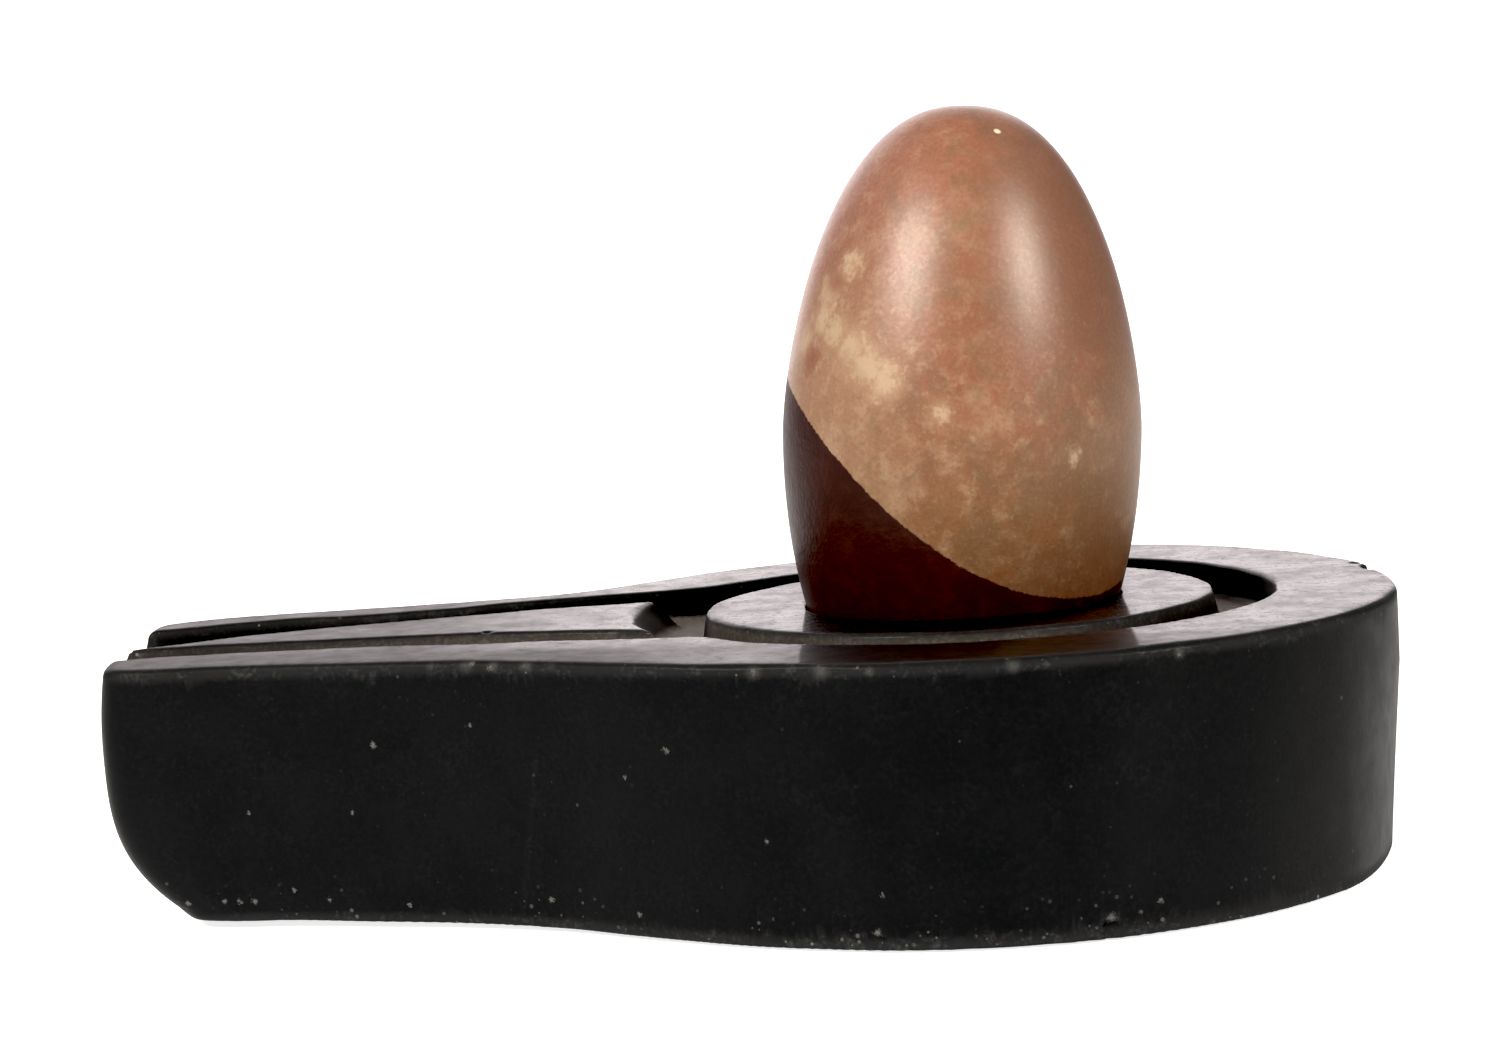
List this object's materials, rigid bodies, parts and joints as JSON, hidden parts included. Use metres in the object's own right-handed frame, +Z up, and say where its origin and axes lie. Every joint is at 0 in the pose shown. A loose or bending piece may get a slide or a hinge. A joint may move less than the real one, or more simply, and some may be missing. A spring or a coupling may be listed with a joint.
{
  "type": "shiva lingam stone on a yoni base",
  "caption": "Polished egg-shaped two-tone river stone standing in a socket in a carved black stone base with a round body, a channel and a long spout.",
  "frame": {"origin": "on the underside, below the middle of the base's length and width", "axes": "+Z up; the base's length lies along X, with the spout towards -X and the round body and stone towards +X"},
  "size_m": [0.1108, 0.0752, 0.065],
  "materials": {
    "river_stone": "polished, satin",
    "black_stone": "polished on the top faces, satin on the walls"
  },
  "bodies": {
    "root": {"lingam_stone": "river_stone", "yoni_base": "black_stone"}
  },
  "joints": []
}
